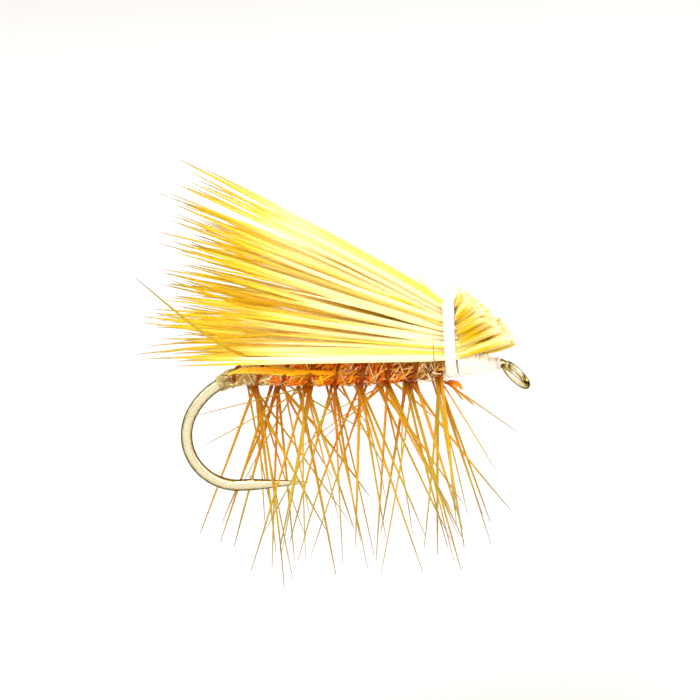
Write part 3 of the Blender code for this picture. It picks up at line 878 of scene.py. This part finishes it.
def add_loose_fibres(made, number, chance):
    """The few fibres that lie or stand apart from the fans, each with the turn it belongs to."""
    if number == 0:
        add_curved_fibre(made, UPRIGHT_FIBRE, 0.034 * MM, ((0, TAN * 0.6), (1, TAN * 0.5)))
    if number == 7:
        add_curved_fibre(made, CAUGHT_BARB, 0.085 * MM, AMBER_BARB)
    if number == 5:
        for start, end, first, last, half in LAID_FIBRES:
            glowing = (1.0, chance.uniform(0.38, 0.54), 0.004)
            colours = ((0, (0.97, 0.70, 0.06)), (0.4, glowing), (0.8, glowing), (1, BARB_ORANGE))
            angles = (math.radians(first), math.radians(last))
            add_laid_fibre(made, (start * MM, end * MM), angles, half * MM, colours)
        add_loose_barb(made, 9.3 * MM, math.radians(-110), (-0.88, -0.30, 0.36), 2.3 * MM, 0.08 * MM)


STEM_ORANGE = (0.80, 0.17, 0.003)
STEM_STRANDS = (  # offset and half width in mm, and share of the stem's length
    ((0, 0, 0), 0.075, 1.0),
    ((-0.1, -0.08, 0.02), 0.05, 0.8),
    ((0.05, 0.09, 0.04), 0.045, 0.9),
    ((-0.16, 0.02, -0.05), 0.04, 0.7),
)
CLIPPED_BARBS = (((1.02, -0.10, -1.00), 0.055), ((0.55, -0.14, -0.75), 0.045))  # reach, half width; mm


def make_stem_stub():
    """The cut stem of the feather with a few clipped barbs, under the front of the body."""
    chance = random.Random(41)
    low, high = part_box("hackle_stem_butt")
    middle = (low.y + high.y) / 2
    start = np.array((low.x + 0.02 * MM, middle, high.z - 0.10 * MM))
    end = np.array((high.x - 0.06 * MM, middle, low.z + 0.10 * MM))
    bow = np.array((0.10, 0, 0.08)) * MM
    made = Fibres()
    for offset, half, share in STEM_STRANDS:
        foot = start + np.array(offset) * MM
        path = [foot + (end - start) * t * share + bow * math.sin(math.pi * t) for t in np.linspace(0, 1, 12)]
        bright = chance.uniform(0.8, 1.0)
        colours = [(at, np.array(c) * bright) for at, c in ((0, QUILL_RED), (0.35, STEM_ORANGE),
                                                           (1, (0.95, 0.42, 0.006)))]
        add_fibre(made, path, ((0, 1), (1, 1)), half * MM, colours, 8, 0.6, (0, 0.3, 1))
    for reach, half in CLIPPED_BARBS:
        path = [start + (0.1 * MM, 0, -0.08 * MM) + np.array(reach) * MM * t for t in np.linspace(0, 1, 9)]
        colours = ((0, STEM_ORANGE), (0.3, BARB_ORANGE), (1, BARB_GOLD))
        add_fibre(made, path, ((0, 0.8), (0.8, 1), (1, 0.7)), half * MM, colours, 7, 0.7, (0, 0.3, 1))
    made.build("hackle_stem_stub", BARB, "ginger_hackle", "hackle_stem_butt")


# -------- elk hair

ROW_HEIGHT = 0.50 * MM
LOCK_ROWS = (  # middle height over the shank's axis, half width, locks
    (0.74 * MM, 1.14 * MM, 3),
    (1.25 * MM, 1.12 * MM, 3),
    (1.76 * MM, 1.00 * MM, 3),
    (2.27 * MM, 0.78 * MM, 2),
    (2.78 * MM, 0.46 * MM, 1),
)
WAIST = (1.89 * MM, 2.58 * MM)
HAIR_LENGTH = 13.4 * MM
HAIR_HALF = (0.085 * MM, 0.125 * MM)
HAIR_TAPER = ((0, 0.60), (0.035, 0.82), (0.10, 1.0), (0.45, 0.95), (0.8, 0.64), (0.95, 0.28), (1, 0.06))
THIN_HAIRS, THINNESS = 0.20, 0.52  # their share of the hairs, and their width over the others'
CRUSHED_HALF = 0.055 * MM
RISE, DROP_AT_SIDES = (7, 33), 5  # degrees over level, at the foot and the top of the wing
SPLAY = (12, 9)
LOW_DROOP = (-5.5, 1.5)  # how far the lowest clumps turn down or up, in degrees
KNEE_RISE, BUTT_RISE = (-2, 38), (21, 40)  # degrees over level before and after the butt's knee
KNEE_REACH = (1.8 * MM, 0.1 * MM)  # from the band to the knee, for the lowest and the higher butts
BUTT_SPLAY = 22
BUTT_HALF = (0.085 * MM, 0.118 * MM)
BUTT_TAPER = np.array((1.0, 1.0, 1.0, 1.0, 0.96, 0.88, 0.76, 0.6))
BUTT_FADE = (0.5, 0.18, 0.0, 0.0, 0.0, 0.08, 0.2, 0.4)  # how cream it is, from its cut end to the band
CUT_WAY = np.array((0.729, 0.0, 0.685))  # square to the plane that the scissors cut
CUT_AT = 1.15 * MM  # that plane's distance from the middle of the eye

CREAM = rgb(0.935, 0.83, 0.52)
PALE_GOLD = rgb(0.92, 0.775, 0.30)
GOLD = rgb(0.865, 0.63, 0.022)
AMBER = rgb(0.64, 0.375, 0.003)
TIP_BROWN = rgb(0.24, 0.165, 0.03)
OLIVE_HAIR = rgb(0.50, 0.37, 0.02)
PITH = rgb(0.95, 0.90, 0.74)
GOLD_BASES = 0.17  # the share of the hairs that are gold from the band on
BODY_STOPS = ((0, mix(CREAM, PALE_GOLD, 0.1)), (0.45, mix(PALE_GOLD, GOLD, 0.12)),
              (1, mix(PALE_GOLD, GOLD, 0.95)))
OUTER_STOPS = ((0, mix(PALE_GOLD, GOLD, 0.65)), (0.35, GOLD), (1, AMBER))


def hair_colours(chance, shares, thin, depth):
    """Hair from the band to its tip: cream, then gold, amber, and a brown point. Thin hairs are olive."""
    base = mix(CREAM, PALE_GOLD, chance.random() * 0.5 * (0.3 + depth))
    if chance.random() < GOLD_BASES:
        base = mix(PALE_GOLD, GOLD, chance.uniform(0.4, 1.0))
    body = gradient(BODY_STOPS, depth)
    outer = OLIVE_HAIR if thin else gradient(OUTER_STOPS, depth)
    turn = chance.uniform(0.34, 0.52) - 0.12 * depth
    tip = mix(outer, TIP_BROWN, chance.uniform(0.5, 1))
    stops = ((0, base), (turn, mix(base, body, 0.25)), (turn + 0.20, mix(base, body, 0.8)),
             (0.74, mix(body, outer, 0.9)), (0.88, mix(outer, AMBER, 0.55)), (1, tip))
    return gradient(stops, shares) * chance.uniform(0.94, 1.03)


def lock_rectangles():
    """Each lock's lowest and highest y and z in the band."""
    found = []
    for middle, half_width, count in LOCK_ROWS:
        low, high = SHANK_Z + middle - ROW_HEIGHT / 2, SHANK_Z + middle + ROW_HEIGHT / 2
        for i in range(count):
            sides = [mix(-half_width, half_width, edge / count) for edge in (i, i + 1)]
            found.append((*sides, low, high))
    return found


def hair_height(z):
    """0 at the lowest of the hair in the band, and 1 at the top of it."""
    base = SHANK_Z + LOCK_ROWS[0][0] - ROW_HEIGHT / 2
    top = SHANK_Z + LOCK_ROWS[-1][0] + ROW_HEIGHT / 2
    return (z - base) / (top - base)


def hair_way(y, z, rise_more, splay_more):
    """The direction of a wing hair that leaves the band at y, z."""
    height = hair_height(z)
    across = y / LOCK_ROWS[0][1]
    drop = DROP_AT_SIDES * abs(across) ** 1.3 * (1 - height) ** 2
    rise = math.radians(mix(*RISE, height) - drop + rise_more)
    splay = math.radians(across * mix(*SPLAY, height) + splay_more)
    return np.array((-math.cos(rise) * math.cos(splay), math.sin(splay), math.sin(rise) * math.cos(splay)))


class Clump:
    """Hairs whose tips draw together."""

    def __init__(self, rectangle, chance):
        y_low, y_high, z_low, z_high = rectangle
        self.y = mix(y_low, y_high, chance.uniform(0.1, 0.9))
        self.z = mix(z_low, z_high, chance.uniform(0.1, 0.9))
        height = hair_height(self.z)
        rise_more = chance.uniform(*LOW_DROOP) if height < 0.2 else chance.gauss(0, 1.9)
        self.way = hair_way(self.y, self.z, rise_more, chance.gauss(0, 1.8))
        self.length = HAIR_LENGTH * chance.uniform(0.90, 1.04)
        self.tip = np.array((SHANK_X - WAIST[1], self.y, self.z)) + self.way * self.length
        self.pull = chance.uniform(0.45, 0.85)
        amber = 0.07 + 0.70 * math.exp(-((height - 0.24) / 0.21) ** 2)
        self.depth = min(1.0, max(0.0, chance.gauss(amber, 0.24)))


def wing_part(y, z, clump, chance):
    """Path, radii and colours of one hair from the back of the band to its tip."""
    way = hair_way(y, z, chance.gauss(0, 0.7), chance.gauss(0, 1.0))
    start = np.array((SHANK_X - WAIST[1], y, z))
    length = clump.length * chance.uniform(0.84, 1.03)
    shares = np.linspace(0, 1, 20) ** 1.15
    up = np.cross((0, 1, 0), way)
    up /= np.linalg.norm(up)
    side = np.cross(way, up)
    belly = chance.uniform(-0.006, 0.018) * length
    weave = chance.gauss(0, 0.011) * length
    phase = chance.uniform(0, 3.1)
    own = start + way * length * shares[:, None]
    shared = start + (clump.tip - start) / clump.length * length * shares[:, None]
    drawn = (clump.pull * shares ** 1.3)[:, None]
    path = (own * (1 - drawn) + shared * drawn
            + up * (belly * np.sin(np.pi * shares))[:, None]
            + side * (weave * (np.sin(np.pi * 1.6 * shares + phase) - math.sin(phase)))[:, None])
    half = chance.uniform(*HAIR_HALF)
    depth = min(1.0, max(0.0, clump.depth + chance.gauss(0, 0.16)))
    thin = chance.random() < THIN_HAIRS
    if thin:
        half *= THINNESS
    radii = np.interp(shares, *zip(*HAIR_TAPER)) * half
    return path, radii, hair_colours(chance, shares, thin, depth)


def butt_part(y, z, chance):
    """Path, radii and colours of one trimmed butt, from its cut end back to the band. The low ones lie
    along the thread head before they rise."""
    base, top = SHANK_Z + LOCK_ROWS[0][0], SHANK_Z + LOCK_ROWS[-1][0]
    height = min(1, max(0, (z - base) / (top - base)))
    splay = math.radians(y / LOCK_ROWS[0][1] * BUTT_SPLAY + chance.gauss(0, 2.5))

    def heading(rise):
        rise = math.radians(rise)
        return np.array((math.cos(rise) * math.cos(splay), math.sin(splay), math.sin(rise)))

    start = np.array((SHANK_X - WAIST[0], y, z))
    beside = abs(y) / LOCK_ROWS[0][1] * (1 - height)
    along = mix(*KNEE_REACH, min(1, height / 0.45)) * (1 - 0.7 * beside) * chance.uniform(0.7, 1.05)
    knee = start + heading(mix(*KNEE_RISE, height) + 18 * beside) * along
    knee[1] = y * mix(0.72, 1.0, min(1, height / 0.4))
    way = heading(mix(*BUTT_RISE, height) + 30 * height ** 4 + chance.gauss(0, 3.5))
    reach = (CUT_AT - knee @ CUT_WAY) / (way @ CUT_WAY)
    end = knee + way * max(0.35 * MM, reach) * chance.uniform(0.86, 1.02)
    shares = np.array((1.0, 0.86, 0.72, 0.58, 0.44, 0.3, 0.16, 0.05))[:, None]
    path = start * (1 - shares) ** 2 + knee * 2 * shares * (1 - shares) + end * shares ** 2
    radii = BUTT_TAPER * chance.uniform(*BUTT_HALF)
    amber = smooth((chance.random() - 0.15) / 0.45)
    tone = mix(mix(PALE_GOLD, GOLD, 0.15), mix(GOLD, AMBER, 0.7), amber)
    colours = np.array([mix(tone, CREAM, t) for t in BUTT_FADE]) * chance.uniform(0.82, 1.0)
    return path, radii, colours, way


def cut_end(rings, path, colours, way, chance):
    """Slants the first ring to the scissors' plane, and opens it into a rim round a sunken pale core."""
    normal = CUT_WAY + np.array([chance.gauss(0, 0.12) for _ in range(3)])
    normal /= np.linalg.norm(normal)
    slant = ((rings[0] - path[0]) @ normal) / (way @ normal)
    outer = rings[0] - slant[:, None] * way
    inner = path[0] + (outer - path[0]) * 0.72
    core = path[0] + (outer - path[0]) * 0.66 - way * 0.02 * MM
    rings = np.concatenate(((core, inner), (outer,), rings[1:]))
    rim = mix(colours[0], AMBER, 0.2)
    colours = np.concatenate(((mix(PITH, colours[0], 0.25), mix(PITH, colours[0], 0.3)), (rim,), colours[1:]))
    return rings, colours


HAIRS_IN_LOCK = (3, 4)  # across and up
HAIRS_IN_LOWEST = (4, 5)
ASTRAY_HAIR = ((-2.45, 0, 3.02), (-2.75, -0.05, 3.25), (-3.2, -0.1, 3.75), (-3.75, -0.1, 4.35))
ASTRAY_HALVES = (0.07 * MM, 0.07 * MM, 0.06 * MM, 0.012 * MM)


def add_hair(made, y, z, clumps, chance):
    """A whole hair through y, z in the band: its butt, the waist that the thread crushes, and its wing."""
    nearest = min(clumps, key=lambda c: (c.y - y) ** 2 + (c.z - z) ** 2 + chance.uniform(0, 0.1) * MM * MM)
    wing, wing_radii, wing_colours = wing_part(y, z, nearest, chance)
    butt, butt_radii, butt_colours, way = butt_part(y, z, chance)
    waist = [(SHANK_X - distance, y, z) for distance in (WAIST[0], mix(*WAIST, 0.5))]
    path = np.concatenate((butt, waist, wing))
    radii = np.concatenate((butt_radii, (CRUSHED_HALF, CRUSHED_HALF), wing_radii))
    colours = np.concatenate((butt_colours, np.tile(wing_colours[0], (2, 1)), wing_colours))
    rings = Fibres().add(path, radii, colours, 8, across=(0.1, 1, 0.2))
    made.add_rings(*cut_end(rings, path, colours, way, chance))


def make_lock(number, rectangle):
    y_low, y_high, z_low, z_high = rectangle
    chance = random.Random(700 + number)
    made = Fibres()
    clumps = [Clump(rectangle, chance) for _ in range(3)]
    across, up = HAIRS_IN_LOWEST if number < LOCK_ROWS[0][2] else HAIRS_IN_LOCK
    for i in range(across):
        for j in range(up):
            y = mix(y_low, y_high, (i + chance.uniform(0.1, 0.9)) / across)
            z = mix(z_low, z_high, (j + chance.uniform(0.1, 0.9)) / up)
            add_hair(made, y, z, clumps, chance)
    if number == sum(row[2] for row in LOCK_ROWS) - 1:
        made.add(np.array(ASTRAY_HAIR) * MM + (SHANK_X, 0, SHANK_Z), ASTRAY_HALVES, PALE_GOLD, 7)
    made.build(f"wing_hair_{number + 1:02d}", HAIR, "elk_hair", f"wing_lock_{number + 1:02d}")


# -------- studio

VIEW_SIDE = 31.8182 * MM  # the square view's side, at the fly
EYE_IN_VIEW = (7.5 * MM, -1.0909 * MM)  # the eye's middle, to the right of the view's and above it
CAMERA_TURN = (math.radians(5), math.radians(12), math.radians(-3.6))  # azimuth, elevation and roll
LENS, SENSOR = 180, 36
LIT_POINT = Vector((-0.0075, 0, 0.001))
PAPER_REACH = (0.10, 0.34)  # metres from the fly between which painted light makes the paper whiter
PAPER_PAINTED_LIGHT_STOPS = ((0, (0.66, 0.65, 0.638)), (1, (0.79, 0.78, 0.77)))
SKY_STOPS = (  # from level with the fly to straight above it
    (0.0, (0.60, 0.59, 0.57)),
    (0.35, (1.0, 0.99, 0.975)),
    (0.79, (1.0, 0.99, 0.975)),
    (0.89, (0.08, 0.075, 0.06)),
)
SKY_STRENGTH = 1.57
LIGHTS = (  # place, size, power and colour
    ("key", (-0.10, -0.16, 0.26), 0.16, 0.60, (1.0, 0.98, 0.94)),
    ("rim", (0.05, 0.22, 0.16), 0.16, 0.25, (1.0, 0.97, 0.90)),
)
FLOOR_HALF, FLOOR_DROP = 1.5, 0.012


def make_camera():
    azimuth, elevation, roll = CAMERA_TURN
    level = Vector((math.cos(azimuth), math.sin(azimuth), 0))
    outward = Vector((math.sin(azimuth), -math.cos(azimuth), 0))
    back = outward * math.cos(elevation) + Vector((0, 0, math.sin(elevation)))
    rise = back.cross(level)
    right = level * math.cos(roll) + rise * math.sin(roll)
    up = rise * math.cos(roll) - level * math.sin(roll)
    target = -(right * EYE_IN_VIEW[0] + up * EYE_IN_VIEW[1])
    data = bpy.data.cameras.new("camera")
    data.lens, data.sensor_width = LENS, SENSOR
    data.clip_start, data.clip_end = 0.005, 20
    camera = add_to_scene("camera", data)
    turn = Matrix((right, up, back)).transposed().to_4x4()
    camera.matrix_world = Matrix.Translation(target + back * VIEW_SIDE * LENS / SENSOR) @ turn
    bpy.context.scene.camera = camera


def add_light(name, place_at, size, power, colour):
    data = bpy.data.lights.new(name, "AREA")
    data.shape, data.size, data.energy, data.color = "DISK", size, power, colour
    made = add_to_scene(name, data)
    made.location = place_at
    made.rotation_mode = "QUATERNION"
    made.rotation_quaternion = (LIT_POINT - made.location).to_track_quat("-Z", "Y")


def make_paper():
    """White paper with painted light: its colour is whiter away from the fly, to make up for where the key
    light falls off.
    """
    made, tree, shader = new_material("white_paper")
    place_in = tree.nodes.new("ShaderNodeTexCoord")
    away = tree.nodes.new("ShaderNodeVectorMath")
    away.operation = "LENGTH"
    tree.links.new(place_in.outputs["Object"], away.inputs[0])
    share = spread(tree, away.outputs["Value"], 0, 1, PAPER_REACH)
    # painted light: the paper's colour is brighter where the key light falls off
    tree.links.new(colour_ramp(tree, share, PAPER_PAINTED_LIGHT_STOPS), shader.inputs["Base Color"])
    fill(shader, {"Roughness": 0.9})
    return made


def make_sky():
    """A pale sky, greyer level with the fly and nearly black right overhead."""
    world = bpy.data.worlds.new("studio")
    world.use_nodes = True
    tree = world.node_tree
    direction = tree.nodes.new("ShaderNodeTexCoord")
    parts = tree.nodes.new("ShaderNodeSeparateXYZ")
    tree.links.new(direction.outputs["Generated"], parts.inputs["Vector"])
    sky = tree.nodes["Background"]
    tree.links.new(colour_ramp(tree, parts.outputs["Z"], SKY_STOPS), sky.inputs["Color"])
    fill(sky, {"Strength": SKY_STRENGTH})
    bpy.context.scene.world = world


def make_floor():
    mesh = bpy.data.meshes.new("floor")
    depth = CAD_BOX[0].z - FLOOR_DROP
    corners = [(x * FLOOR_HALF, y * FLOOR_HALF, depth) for x, y in ((-1, -1), (1, -1), (1, 1), (-1, 1))]
    mesh.from_pydata(corners, [], [(0, 1, 2, 3)])
    mesh.materials.append(make_paper())
    add_to_scene("floor", mesh)


# -------- build

def build():
    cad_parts["thread_underwrap"].material_slots[0].material = HIDDEN_THREAD
    make_hook()
    make_head()
    make_rear_wraps()
    make_band()
    make_cement()
    make_body()
    make_rib()
    for number in range(HACKLE_TURNS):
        make_hackle_turn(number)
    make_stem_stub()
    for number, rectangle in enumerate(lock_rectangles()):
        make_lock(number, rectangle)
    make_camera()
    make_sky()
    for light in LIGHTS:
        add_light(*light)
    make_floor()
    scene = bpy.context.scene
    scene.view_settings.view_transform = "Standard"
    scene.view_settings.look = "None"
    scene.cycles.diffuse_bounces = 10


build()
